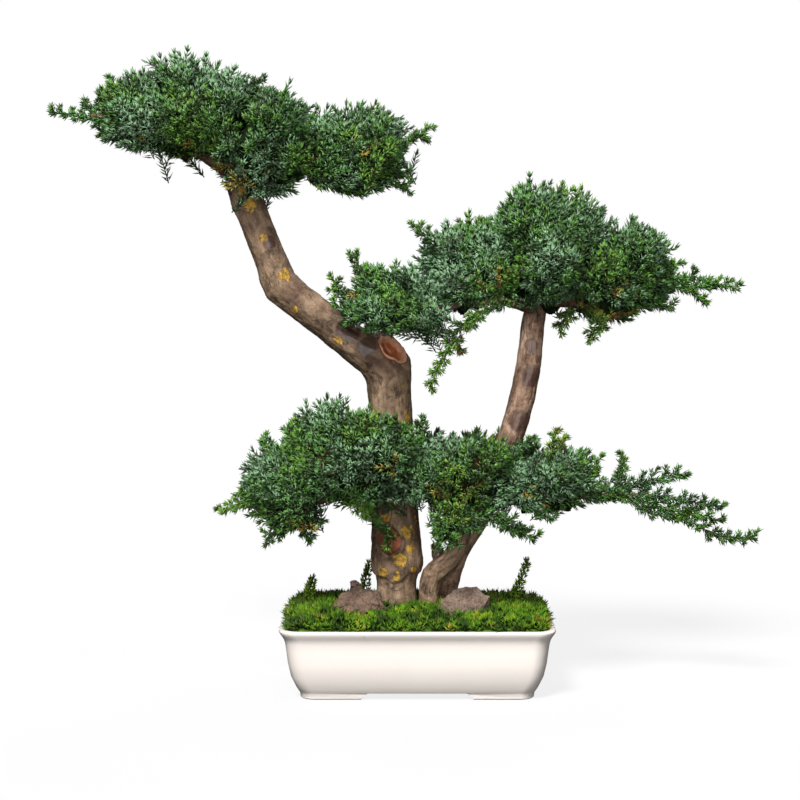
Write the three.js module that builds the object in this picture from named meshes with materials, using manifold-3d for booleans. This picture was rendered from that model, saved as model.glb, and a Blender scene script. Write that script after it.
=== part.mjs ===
// A juniper bonsai with three foliage pads in a low glazed pot: pot, drain screens, soil, moss, rocks,
// three woody stems, the limbs inside the pads, and every clump and spray of foliage as its own solid.
// Millimetres, +Z up. +X is to the right of the tree's front, and the front looks along -Y.
// The tree is laid out from the middle of the pot's foot, then moved so that the origin is the middle of
// its box.
import * as THREE from "three";
import { mergeVertices } from "three/addons/utils/BufferGeometryUtils.js";
import Module from "manifold-3d";

// ---- driving dimensions ----------------------------------------------------------------------------------
const POT_LENGTH = 264; // over the lip
const POT_DEPTH = 165;
const POT_HEIGHT = 69;
const CORNER_RADIUS = 20; // of the lip's outline
const CORNER_STEPS = 4; // facets in each rounded corner
const FOOT_HEIGHT = 6.4; // clear height of the arches between the feet
const FRONT_ARCH = 96; // width of the arch in each long side, at its top
const SIDE_ARCH = 54;
const FOOT_SPLAY = 6; // how much wider an arch is, to each side, where it meets the ground
const DRAIN_RADIUS = 9;
const DRAIN_X = 62; // the two drain holes stand this far from the middle
const SCREEN_SIZE = 34;
const SCREEN_THICK = 1;
const FLOOR_TOP = 14; // inside floor of the pot
const GAP = 0.35; // between solids that touch
const MOSS_SPLITS = [-36, 58]; // where one sheet of moss meets the next
const LOBES = 5; // swellings on each foliage clump
const LOBE_SHARE = 0.52; // a swelling's size against its clump's
const CORE_SHARE = 0.8; // the size of a clump's core against the whole clump

// ---- materials -------------------------------------------------------------------------------------------
const material = (color, roughness, metalness = 0) =>
  new THREE.MeshStandardMaterial({ color, roughness, metalness });
const glaze = material(0xf1e8dd, 0.28);
const screenPlastic = material(0x23302a, 0.6);
const earth = material(0x3b2c20, 0.95);
const mossGreen = material(0x4f8a1f, 0.9);
const lava = material(0x6e5a55, 0.92);
const sandstone = material(0xa89482, 0.9);
const bark = material(0x5f4d3e, 0.7);
const limbBark = material(0x8a5a33, 0.75);
const needleGreen = material(0x2f6b3a, 0.6);

// ---- solids ----------------------------------------------------------------------------------------------
const wasm = await Module();
wasm.setup();
const { Manifold, Mesh } = wasm;

const toSolid = (geometry) => {
  const bare = geometry.clone();
  bare.deleteAttribute("normal");
  bare.deleteAttribute("uv");
  const merged = mergeVertices(bare, 1e-3);
  return new Manifold(
    new Mesh({
      numProp: 3,
      vertProperties: merged.attributes.position.array,
      triVerts: new Uint32Array(merged.index.array),
    }),
  );
};

const toGeometry = (solid) => {
  const { numProp, numVert, vertProperties, triVerts } = solid.getMesh();
  const points = new Float32Array(numVert * 3);
  for (let i = 0; i < numVert; i++) points.set(vertProperties.subarray(i * numProp, i * numProp + 3), i * 3);
  const geometry = new THREE.BufferGeometry();
  geometry.setAttribute("position", new THREE.BufferAttribute(points, 3));
  geometry.setIndex(new THREE.BufferAttribute(triVerts, 1));
  geometry.computeVertexNormals();
  return geometry;
};

// A cut can leave crumbs beside the main body; only the largest body is the piece.
const largestBody = (solid) => solid.decompose().reduce((a, b) => (b.volume() > a.volume() ? b : a));
const cutBy = (solid, cutters) => largestBody(cutters.reduce((left, cutter) => left.subtract(cutter), solid));

// Moves every vertex of a geometry to place(vertex), and gives the solid.
const reshaped = (geometry, place) => {
  const position = geometry.attributes.position;
  const vertex = new THREE.Vector3();
  for (let i = 0; i < position.count; i++) {
    const moved = place(vertex.fromBufferAttribute(position, i));
    position.setXYZ(i, moved.x, moved.y, moved.z);
  }
  return toSolid(geometry);
};

// ---- the pot and what fills it: lathe profiles whose circle is turned into the pot's outline -------------
const OUTLINE_STEPS = 4 * (CORNER_STEPS + 1);

// A point of the pot's rounded outline, a given inset inside the lip. The step runs round the four corners.
const outlinePoint = (step, inset) => {
  const radius = Math.max(CORNER_RADIUS - 0.55 * inset, 6);
  const corner = Math.floor(step / (CORNER_STEPS + 1)) % 4;
  const turn = ((corner + (step % (CORNER_STEPS + 1)) / CORNER_STEPS) * Math.PI) / 2;
  const sideX = [1, -1, -1, 1][corner];
  const sideY = [1, 1, -1, -1][corner];
  return new THREE.Vector2(
    sideX * (POT_LENGTH / 2 - inset - radius) + radius * Math.cos(turn),
    sideY * (POT_DEPTH / 2 - inset - radius) + radius * Math.sin(turn),
  );
};

// profile: [inset, height] pairs up the outside and down the inside; an inset of AXIS is the middle.
const AXIS = POT_LENGTH / 2;
const potShaped = (profile) => {
  const points = profile.map(([inset, height]) => new THREE.Vector2(AXIS - inset, height));
  const geometry = new THREE.LatheGeometry(points, OUTLINE_STEPS);
  return reshaped(geometry, ({ x, y, z }) => {
    const radius = Math.hypot(x, z);
    if (radius < 1e-6) return new THREE.Vector3(0, 0, y);
    const turn = (Math.atan2(x, z) / (2 * Math.PI) + 1) % 1;
    const at = outlinePoint(Math.round(turn * OUTLINE_STEPS) % OUTLINE_STEPS, AXIS - radius);
    return new THREE.Vector3(at.x, at.y, y);
  });
};

const upright = (radius, height, x, y, bottom, sides = 24) => {
  const geometry = new THREE.CylinderGeometry(radius, radius, height, sides);
  return toSolid(geometry.rotateX(Math.PI / 2).translate(x, y, bottom + height / 2));
};

const block = (width, depth, height, x, y, bottom) =>
  toSolid(new THREE.BoxGeometry(width, depth, height).translate(x, y, bottom + height / 2));

// The opening between two feet: flat on top, with each end swept down in a curve.
const footArch = (width, length) => {
  const half = width / 2;
  const below = -2;
  const shape = new THREE.Shape();
  shape.moveTo(-half - FOOT_SPLAY, below);
  shape.lineTo(-half - FOOT_SPLAY, 0);
  shape.bezierCurveTo(-half - 2, 0, -half - 4, FOOT_HEIGHT, -half, FOOT_HEIGHT);
  shape.lineTo(half, FOOT_HEIGHT);
  shape.bezierCurveTo(half + 4, FOOT_HEIGHT, half + 2, 0, half + FOOT_SPLAY, 0);
  shape.lineTo(half + FOOT_SPLAY, below);
  const geometry = new THREE.ExtrudeGeometry(shape, { depth: length, bevelEnabled: false, curveSegments: 5 });
  return geometry.translate(0, 0, -length / 2).rotateX(Math.PI / 2);
};

const makePot = () => {
  const shell = potShaped([
    [AXIS, FOOT_HEIGHT + 0.6],
    [31.5, FOOT_HEIGHT + 0.6],
    [30, 0],
    [21, 0],
    [19.8, 1],
    [19.3, 5.4],
    [18.7, 6.6],
    [16, 11],
    [11, 22],
    [8.2, 35],
    [6.6, 48],
    [5.3, 56],
    [3.5, 60.5],
    [1.4, 63.8],
    [0.2, 66.4],
    [0.3, 68],
    [1.6, POT_HEIGHT],
    [4.6, POT_HEIGHT],
    [6.4, POT_HEIGHT - 1],
    [7.8, 65],
    [12.5, 56],
    [15.2, 38],
    [20, 22],
    [28, FLOOR_TOP],
    [AXIS, FLOOR_TOP],
  ]);
  const drains = [-DRAIN_X, DRAIN_X].map((x) => upright(DRAIN_RADIUS, 20, x, 0, 0));
  const longArch = toSolid(footArch(FRONT_ARCH, POT_DEPTH + 20));
  const crossArch = toSolid(footArch(SIDE_ARCH, POT_LENGTH + 20).rotateZ(Math.PI / 2));
  return cutBy(shell, [...drains, longArch, crossArch]);
};

// A square of plastic mesh over a drain hole, which keeps the soil in.
const makeScreen = (x) => {
  const sheet = block(SCREEN_SIZE, SCREEN_SIZE, SCREEN_THICK, x, 0, FLOOR_TOP + GAP);
  const pitch = 9;
  const holes = [];
  for (const i of [-1, 0, 1])
    for (const j of [-1, 0, 1])
      holes.push(block(6.4, 6.4, SCREEN_THICK + 4, x + i * pitch, j * pitch, FLOOR_TOP - 2));
  return cutBy(sheet, holes);
};

const makeSoil = () =>
  potShaped([
    [AXIS, FLOOR_TOP + SCREEN_THICK + 1],
    [29.5, FLOOR_TOP + SCREEN_THICK + 1],
    [21, 23],
    [16.2, 38],
    [13.6, 56],
    [18, 60],
    [50, 65],
    [AXIS, 67],
  ]);

const makeMoss = () =>
  potShaped([
    [AXIS, 67 + GAP],
    [50, 65 + GAP],
    [18, 60 + GAP],
    [13.9, 56 + GAP],
    [9.6, 63.5],
    [8.6, 66],
    [10, 69],
    [17, 72.5],
    [30, 75],
    [50, 77],
    [AXIS, 78],
  ]);

// ---- rocks: the space inside a set of planes, so that they look split ------------------------------------
const makeRock = (centre, size, planes, seed, knob) => {
  const faces = [];
  for (let i = 0; i < planes; i++) {
    const height = 1 - (2 * (i + 0.5)) / planes;
    const turn = i * 2.39996 + seed;
    const flat = Math.sqrt(1 - height * height);
    faces.push({
      normal: new THREE.Vector3(flat * Math.cos(turn), flat * Math.sin(turn), height),
      reach: 0.84 + 0.16 * Math.sin(i * 1.7 + seed * 3),
    });
  }
  const body = reshaped(new THREE.IcosahedronGeometry(1, 2), (direction) => {
    let reach = 1.15;
    for (const face of faces) {
      const facing = direction.dot(face.normal);
      if (facing > 0.05) reach = Math.min(reach, face.reach / facing);
    }
    return new THREE.Vector3(
      centre[0] + direction.x * reach * size[0],
      centre[1] + direction.y * reach * size[1],
      centre[2] + direction.z * reach * size[2],
    );
  });
  return knob ? body.add(makeRock(knob.centre, knob.size, 9, seed + 1)) : body;
};

// ---- wood: a cylinder bent along a curve, with its own radius at each point ------------------------------
// route: [x, y, z, radius] points. flutes is how far the section departs from round, against its radius.
const makeWood = (route, { sides = 12, steps = route.length * 3, flutes = 0, grow = 0 } = {}) => {
  const curve = new THREE.CatmullRomCurve3(
    route.map(([x, y, z]) => new THREE.Vector3(x, y, z)),
    false,
    "centripetal",
  );
  const radiusAt = (t) => {
    const at = Math.min(t * (route.length - 1), route.length - 1.0001);
    const i = Math.floor(at);
    return THREE.MathUtils.lerp(route[i][3], route[i + 1][3], at - i);
  };
  const frames = [];
  let across = new THREE.Vector3(0, -1, 0);
  for (let i = 0; i <= steps; i++) {
    const t = i / steps;
    const along = curve.getTangent(t);
    across = across.clone().addScaledVector(along, -across.dot(along));
    if (across.length() < 0.1) across.set(1, 0, 0).addScaledVector(along, -along.x);
    across.normalize();
    frames.push({ at: curve.getPoint(t), across, other: across.clone().cross(along), along });
  }
  const geometry = new THREE.CylinderGeometry(1, 1, 1, sides, steps);
  return reshaped(geometry, ({ x, y, z }) => {
    const t = y + 0.5;
    const frame = frames[Math.round(t * steps)];
    const turn = Math.atan2(x, z);
    const wobble = 1 + flutes * (Math.sin(3 * turn + 6 * t) + 0.6 * Math.sin(5 * turn - 9 * t));
    const radius = radiusAt(t) * wobble + grow;
    const end = t < 1e-6 ? -grow : t > 1 - 1e-6 ? grow : 0;
    return frame.at
      .clone()
      .addScaledVector(frame.across, x * radius)
      .addScaledVector(frame.other, z * radius)
      .addScaledVector(frame.along, end);
  });
};

const MAIN_TRUNK = [
  [-20, 2, 34, 27],
  [-20, 1, 71, 24],
  [-20, 0, 85, 21.5],
  [-20, 0, 97, 20.6],
  [-19.5, 0, 109, 21.6],
  [-19.5, 0, 117, 25.2],
  [-19.8, 0, 129, 25.6],
  [-20.2, 0, 155, 24],
  [-23, 0, 205, 23],
  [-25.7, 0, 254, 22],
  [-26.1, 0, 284, 21.8],
  [-28.5, 0, 305, 21.6],
  [-39.5, 0, 321.5, 20.6],
  [-60, 0, 335.5, 18.4],
  [-84, -1, 355, 17.2],
  [-114, -2, 378, 17],
  [-131.5, -2, 392, 18.6],
  [-138.4, -2, 410, 16.6],
  [-149, -1, 436, 15.2],
  [-158.4, 0, 460, 15.4],
  [-164.8, 0, 477, 16.6],
  [-169, 0, 495, 16.8],
  [-171.5, 0, 513, 13.5],
  [-174, 0, 527, 9],
];
// The old leader, sawn off just above the bend.
const OLD_LEADER = [
  [-26.1, 0, 285, 20.5],
  [-25.8, 0, 310, 21.4],
  [-25, -1, 330, 20.4],
  [-23, -2, 355, 19],
  [-22, -3, 371, 18],
];
const SAW_NORMAL = new THREE.Vector3(0.5, -0.5, 0.7).normalize();
const SAW_POINT = new THREE.Vector3(-25.5, -3, 330.5);

const REAR_STEM = [
  [29, 17, 36, 13],
  [29, 17, 75, 11.6],
  [29.5, 17, 92, 11],
  [33, 16, 112, 11.5],
  [40, 15, 131, 11.5],
  [50, 14, 148, 11.6],
  [60, 12.5, 166, 12],
  [71.2, 11, 190, 12.2],
  [81, 9, 217, 12.3],
  [90.5, 7, 243, 12.3],
  [98.5, 5, 268, 12.4],
  [105.5, 3, 299, 12.6],
  [109.5, 1, 329.5, 12.2],
  [113, 0, 366, 11.4],
  [118, 0, 391, 9.4],
  [123, 0, 409, 7],
];

const FRONT_STEM = [
  [12.4, -9, 38, 13],
  [12.4, -9, 77, 11],
  [12.6, -9, 97, 10.6],
  [14, -10, 108.5, 11],
  [20.5, -12, 117, 11],
  [30.9, -14, 125, 10],
  [37.7, -15, 137, 9.8],
  [42.7, -16, 151, 9.3],
  [45.6, -17, 170, 8.4],
  [46.6, -18, 188, 6.8],
];
// The dead, broken snag behind the front stem's fork.
const SNAG = [
  [27, -9, 117, 7],
  [22, -3, 129, 7.4],
  [17.5, 0, 142, 5],
];

const makeMainTrunk = (grow = 0) => {
  const away = new THREE.Quaternion().setFromUnitVectors(new THREE.Vector3(0, 0, 1), SAW_NORMAL);
  const sawn = new THREE.BoxGeometry(90, 90, 60).translate(0, 0, 30 + grow).applyQuaternion(away);
  const stub = makeWood(OLD_LEADER, { sides: 14, steps: 6, flutes: 0.02, grow })
    .subtract(toSolid(sawn.translate(SAW_POINT.x, SAW_POINT.y, SAW_POINT.z)));
  return largestBody(makeWood(MAIN_TRUNK, { sides: 14, steps: 36, flutes: 0.02, grow }).add(stub));
};
const makeRearStem = (grow = 0) => makeWood(REAR_STEM, { sides: 12, steps: 20, flutes: 0.02, grow });
const makeFrontStem = (grow = 0) =>
  makeWood(FRONT_STEM, { sides: 12, steps: 14, flutes: 0.02, grow }).add(
    makeWood(SNAG, { sides: 7, steps: 2, flutes: 0.06, grow }),
  );

// ---- limbs inside the pads -------------------------------------------------------------------------------
const LIMBS = {
  crown_limb_left: [[-178, -4, 499, 7], [-215, -14, 525, 5.6], [-262, -12, 545, 4.2], [-312, -6, 557, 2.8]],
  crown_limb_right: [[-160, -6, 495, 7], [-118, -16, 509, 5.6], [-70, -12, 513, 4.2], [-24, -4, 519, 2.8]],
  crown_limb_back: [[-170, 12, 505, 6], [-166, 42, 527, 5], [-158, 68, 541, 3.4]],
  middle_limb_left: [[112, -10, 371, 6], [66, -30, 381, 5], [20, -44, 371, 3.6], [-44, -46, 367, 2.4]],
  middle_limb_right: [[128, -8, 379, 6], [160, -26, 377, 5], [196, -30, 379, 3.8], [222, -26, 389, 2.6]],
  middle_limb_back: [[122, 8, 383, 6], [128, 40, 401, 5], [136, 64, 409, 3.4]],
  lower_limb_left: [[-40, -14, 209, 7], [-70, -30, 195, 6], [-108, -30, 187, 4.8], [-140, -22, 185, 3.2]],
  lower_limb_right: [
    [50, -20, 181, 6.4], [84, -26, 187, 5.6], [128, -20, 189, 5], [176, -14, 191, 4], [230, -12, 189, 3],
  ],
  lower_limb_back: [[-24, 20, 211, 6.4], [-4, 44, 213, 5.4], [52, 50, 207, 4.4], [84, 46, 205, 3]],
};
const makeLimb = (name, grow = 0) => makeWood(LIMBS[name], { sides: 6, steps: 4, grow });

// ---- foliage ---------------------------------------------------------------------------------------------
// A clump: [x, y, z], [half length, half depth, height above the middle, depth below it], and its own seed.
const CLUMPS = {
  crown_foliage_left: [[-264, -6, 551], [52, 60, 43, 38], 1],
  crown_foliage_centre: [[-205, -2, 553], [62, 82, 56, 50], 2],
  crown_foliage_shoulder: [[-146, -6, 527], [52, 74, 56, 62], 3],
  crown_foliage_right: [[-58, 0, 517], [54, 62, 47, 50], 4],
  crown_foliage_back: [[-176, 60, 538], [86, 40, 44, 34], 5],
  middle_foliage_dome: [[124, -4, 423], [58, 84, 72, 70], 6],
  middle_foliage_right: [[192, 0, 401], [56, 70, 50, 56], 7],
  middle_foliage_left: [[48, -2, 403], [50, 64, 54, 43], 8],
  middle_finger_upper: [[-22, -18, 389], [46, 34, 19, 24], 9],
  middle_finger_lower: [[-20, -52, 363], [50, 28, 15, 17], 10],
  middle_foliage_back: [[130, 60, 405], [84, 42, 44, 38], 11],
  lower_foliage_left: [[-126, -16, 196], [43, 58, 48, 54], 12],
  lower_foliage_centre: [[-60, -44, 227], [66, 48, 56, 56], 13],
  lower_foliage_right: [[46, -40, 205], [58, 50, 46, 38], 14],
  lower_foliage_far_right: [[128, -12, 201], [50, 56, 27, 28], 15],
  lower_foliage_back: [[-54, 50, 217], [84, 42, 46, 34], 16],
  lower_foliage_back_right: [[62, 52, 205], [70, 40, 38, 30], 17],
  lower_front_tuft: [[31, -66, 172], [20, 20, 22, 28], 18],
};
// A spray: a route like a branch's, tapering to its tip.
const SPRAYS = {
  crown_spray_left: [[-318, -6, 558, 15], [-340, -6, 562, 8], [-361, -6, 566, 2.4]],
  crown_spray_right: [[-6, 0, 529, 10], [2, -2, 537, 6], [17, -4, 551, 2.4]],
  middle_spray_tip: [[-62, -30, 377, 13], [-76, -30, 387, 9], [-81, -30, 402, 3]],
  middle_spray_right: [[256, -4, 399, 15], [286, -6, 396, 9], [317, -8, 393, 3]],
  middle_spray_hanging: [
    [60, -62, 369, 7], [36, -66, 353, 9], [25, -66, 327, 9], [17, -66, 307, 7], [10, -66, 289, 3],
  ],
  middle_tuft_below: [[178, -40, 359, 12], [170, -44, 351, 8], [161, -46, 343, 3]],
  lower_spray_left: [[-168, -20, 181, 13], [-180, -20, 176, 8], [-192, -20, 173, 2.6]],
  lower_spray_upright: [[128, -14, 221, 14], [132, -14, 235, 10], [138, -14, 253, 3]],
  lower_spray_shoulder: [[178, -12, 195, 23], [210, -12, 201, 19], [240, -12, 208, 10], [268, -12, 211, 3]],
  lower_spray_long: [
    [222, -12, 185, 11], [252, -14, 177, 15], [286, -16, 168, 13], [316, -16, 154, 8], [344, -16, 151, 3],
  ],
  lower_tuft_right: [[80, -60, 169, 10], [98, -60, 161, 9], [116, -58, 153, 3]],
};

// An ellipsoid inside a clump: share is its size against the clump's, and way is where it stands in it.
const makeLobe = ([centre, size, seed], share, way, grow) => {
  const [halfLength, halfDepth, above, below] = size;
  const swelling = new THREE.IcosahedronGeometry(1, 1).rotateZ(seed).rotateX(2 * seed);
  return reshaped(swelling, ({ x, y, z }) => {
    const height = way.z + share * z;
    return new THREE.Vector3(
      centre[0] + (way.x + share * x) * halfLength + x * grow,
      centre[1] + (way.y + share * y) * halfDepth + y * grow,
      centre[2] + height * (height > 0 ? above : below) + z * grow,
    );
  });
};

// A clump is a core with swellings spread over it by the golden angle.
const makeClump = (clump, grow = 0) => {
  const [, , seed] = clump;
  let solid = makeLobe(clump, CORE_SHARE, new THREE.Vector3(), grow);
  for (let i = 0; i < LOBES; i++) {
    const height = 0.86 - (1.5 * (i + 0.5)) / LOBES;
    const turn = i * 2.39996 + seed * 1.7;
    const reach = 1 - LOBE_SHARE + 0.07 * Math.sin(3 * i + seed);
    const flat = Math.sqrt(1 - height * height);
    const way = new THREE.Vector3(flat * Math.cos(turn), flat * Math.sin(turn), height).multiplyScalar(reach);
    solid = solid.add(makeLobe(clump, LOBE_SHARE, way, grow));
  }
  return solid;
};
const makeSpray = (route, grow = 0) => makeWood(route, { sides: 7, steps: route.length, flutes: 0.05, grow });

const MOSS_SHOOTS = {
  moss_shoot_left: [[-108, 12, 79, 1.6], [-106, 12, 92, 1.3], [-103, 12, 101, 0.7]],
  moss_shoot_back: [[-53, 14, 81, 1.6], [-51, 14, 102, 1.3], [-47, 14, 117, 0.7]],
  moss_shoot_right: [[92, 6, 80, 1.8], [100, 6, 98, 1.5], [108, 6, 121, 0.8]],
};
const makeShoot = (name, grow = 0) => makeWood(MOSS_SHOOTS[name], { sides: 5, steps: 3, grow });

// ---- assembly: each piece is cut back by the ones that it grows round ------------------------------------
const tree = new THREE.Group();
const addPiece = (name, solid, finish) => {
  const mesh = new THREE.Mesh(toGeometry(solid), finish);
  mesh.name = name;
  tree.add(mesh);
};

const ROCKS = {
  rock_left: [[-55, -37, 85], [29, 20, 24], 14, 1.1, { centre: [-61, -35, 104.5], size: [9, 8, 7.5] }],
  rock_right: [[46, -38, 83], [28, 15, 23], 11, 4.2],
  pebble: [[-49, -9, 89], [6, 5.4, 4.6], 12, 2.5],
};
const grownRock = ([centre, size, planes, seed, knob]) => {
  const wider = (values) => values.map((value) => value + GAP);
  return makeRock(centre, wider(size), planes, seed, knob && { centre: knob.centre, size: wider(knob.size) });
};

const woodSolids = {
  main_trunk: makeMainTrunk(),
  rear_stem: makeRearStem(),
  front_stem: cutBy(makeFrontStem(), [makeMainTrunk(GAP), makeRearStem(GAP)]),
};
const grownWood = [makeMainTrunk(GAP), makeRearStem(GAP), makeFrontStem(GAP)];
for (const [name, solid] of Object.entries(woodSolids)) addPiece(name, solid, bark);

const rockSolids = {};
for (const [name, rock] of Object.entries(ROCKS)) rockSolids[name] = cutBy(makeRock(...rock), grownWood);
rockSolids.pebble = cutBy(rockSolids.pebble, [grownRock(ROCKS.rock_left)]);
for (const [name, solid] of Object.entries(rockSolids)) {
  addPiece(name, solid, name === "pebble" ? sandstone : lava);
}
const grownRocks = Object.values(ROCKS).map(grownRock);
const grownShoots = Object.keys(MOSS_SHOOTS).map((name) => makeShoot(name, GAP));

addPiece("pot", makePot(), glaze);
addPiece("drain_screen_left", makeScreen(-DRAIN_X), screenPlastic);
addPiece("drain_screen_right", makeScreen(DRAIN_X), screenPlastic);
addPiece("soil", cutBy(makeSoil(), [...grownWood, ...grownRocks, ...grownShoots]), earth);

const carpet = makeMoss();
const edges = [-AXIS - 10, ...MOSS_SPLITS, AXIS + 10];
["moss_left", "moss_middle", "moss_right"].forEach((name, i) => {
  const low = edges[i] + GAP / 2;
  const high = edges[i + 1] - GAP / 2;
  const sheet = carpet.intersect(block(high - low, 2 * POT_DEPTH, 100, (low + high) / 2, 0, 20));
  addPiece(name, cutBy(sheet, [...grownWood, ...grownRocks, ...grownShoots]), mossGreen);
});
for (const name of Object.keys(MOSS_SHOOTS)) addPiece(name, makeShoot(name), mossGreen);

const grownLimbs = [];
for (const name of Object.keys(LIMBS)) {
  addPiece(name, cutBy(makeLimb(name), grownWood), limbBark);
  grownLimbs.push(makeLimb(name, GAP));
}

const inTheWay = [...grownWood, ...grownLimbs];
for (const [name, route] of Object.entries(SPRAYS)) {
  addPiece(name, cutBy(makeSpray(route), inTheWay), needleGreen);
  inTheWay.push(makeSpray(route, GAP));
}
for (const [name, clump] of Object.entries(CLUMPS)) {
  addPiece(name, cutBy(makeClump(clump), inTheWay), needleGreen);
  inTheWay.push(makeClump(clump, GAP));
}

const box = new THREE.Box3().setFromObject(tree);
const middle = box.getCenter(new THREE.Vector3());
tree.position.set(-middle.x, -middle.y, -box.min.z);

export default tree;
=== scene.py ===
import math

import bpy
import numpy as np
from mathutils import Matrix, Vector, noise
from mathutils.bvhtree import BVHTree


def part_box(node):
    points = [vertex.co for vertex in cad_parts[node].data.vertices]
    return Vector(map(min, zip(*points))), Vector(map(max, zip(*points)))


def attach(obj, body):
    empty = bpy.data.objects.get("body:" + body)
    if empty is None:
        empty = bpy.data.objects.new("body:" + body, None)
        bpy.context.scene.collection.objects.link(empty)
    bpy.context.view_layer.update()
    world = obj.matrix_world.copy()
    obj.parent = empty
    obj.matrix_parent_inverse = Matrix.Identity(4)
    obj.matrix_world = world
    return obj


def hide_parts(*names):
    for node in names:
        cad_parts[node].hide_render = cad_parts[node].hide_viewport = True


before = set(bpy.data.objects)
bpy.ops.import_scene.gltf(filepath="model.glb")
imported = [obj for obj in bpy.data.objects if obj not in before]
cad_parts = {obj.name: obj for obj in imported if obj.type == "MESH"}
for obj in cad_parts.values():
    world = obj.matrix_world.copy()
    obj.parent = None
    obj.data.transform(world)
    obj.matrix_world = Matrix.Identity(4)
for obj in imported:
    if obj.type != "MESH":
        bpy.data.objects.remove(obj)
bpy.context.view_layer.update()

# A juniper bonsai in a cream glazed pot: every needle, twig and moss leaf is its own small closed shape.
# Lengths are in millimetres in the tables and in metres once they reach a mesh.
MM = 0.001
UP = np.array([0.0, 0.0, 1.0])
rng = np.random.default_rng(20)
noise.seed_set(11)  # fixes the offsets of noise_vector, which start from the clock otherwise

POT_LOW, POT_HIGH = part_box("pot")
POT_MIDDLE = Vector(((POT_LOW.x + POT_HIGH.x) / 2, (POT_LOW.y + POT_HIGH.y) / 2, 0))


def place(x, y, z):
    """A point in metres from millimetres laid out from the middle of the pot's foot."""
    return POT_MIDDLE + Vector((x, y, z)) * MM


# ---- camera, light and floor ----------------------------------------------------------------------------
CAMERA_BACK = 2150
CAMERA_SIDE = -16.6
CAMERA_HEIGHT = 465
CAMERA_PITCH = 4.87
LENS = 100
SENSOR = 36
# Each sun's name, how far round from the front it stands, how high, how wide it is (degrees), its strength
SUNS = (
    ("key_light", -22, 48, 14, 4.5),
    ("fill_light", 10, 2, 60, 1.8),
    ("back_light", 160, 50, 60, 1.0),
)
STUDIO_GLOW = 0.08


def set_camera():
    bpy.ops.object.camera_add(
        location=place(CAMERA_SIDE, -CAMERA_BACK, CAMERA_HEIGHT),
        rotation=(math.radians(90 - CAMERA_PITCH), 0, 0),
    )
    camera = bpy.context.object
    camera.data.lens = LENS
    camera.data.sensor_width = SENSOR
    bpy.context.scene.camera = camera


def set_light():
    for name, turn, height, spread, strength in SUNS:
        facing = (math.radians(90 - height), 0, math.radians(turn))
        bpy.ops.object.light_add(type="SUN", rotation=facing)
        light = bpy.context.object
        light.name = name
        light.data.angle = math.radians(spread)
        light.data.energy = strength
    world = bpy.data.worlds.new("studio")
    world.use_nodes = True
    nodes, links = world.node_tree.nodes, world.node_tree.links
    rays = nodes.new("ShaderNodeLightPath")
    glow = nodes.new("ShaderNodeMapRange")
    glow.inputs["To Min"].default_value = STUDIO_GLOW
    glow.inputs["To Max"].default_value = 1.0
    links.new(rays.outputs["Is Camera Ray"], glow.inputs["Value"])
    links.new(glow.outputs["Result"], nodes["Background"].inputs["Strength"])
    nodes["Background"].inputs["Color"].default_value = (1, 1, 1, 1)
    bpy.context.scene.world = world
    bpy.context.scene.view_settings.view_transform = "Standard"


set_camera()
set_light()


# ---- finishes: shader maths as expressions --------------------------------------------------------------
class Wire:
    """A socket of a finish, on which arithmetic adds Math nodes."""

    def __init__(self, finish, socket):
        self.finish = finish
        self.socket = socket

    def math(self, operation, *values):
        inputs = dict(enumerate(values))
        return self.finish.node("ShaderNodeMath", {"operation": operation}, inputs)

    def __add__(self, other):
        return self.math("ADD", self, other)

    def __sub__(self, other):
        return self.math("SUBTRACT", self, other)

    def __rsub__(self, other):
        return self.math("SUBTRACT", other, self)

    def __mul__(self, other):
        return self.math("MULTIPLY", self, other)

    __radd__ = __add__
    __rmul__ = __mul__

    def clamped(self):
        return self.finish.node("ShaderNodeClamp", {}, {"Value": self})

    def step(self, low, high):
        """0 below low, 1 above high and smooth between them."""
        settings = {"interpolation_type": "SMOOTHSTEP"}
        inputs = {"Value": self, "From Min": low, "From Max": high}
        return self.finish.node("ShaderNodeMapRange", settings, inputs)


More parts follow.
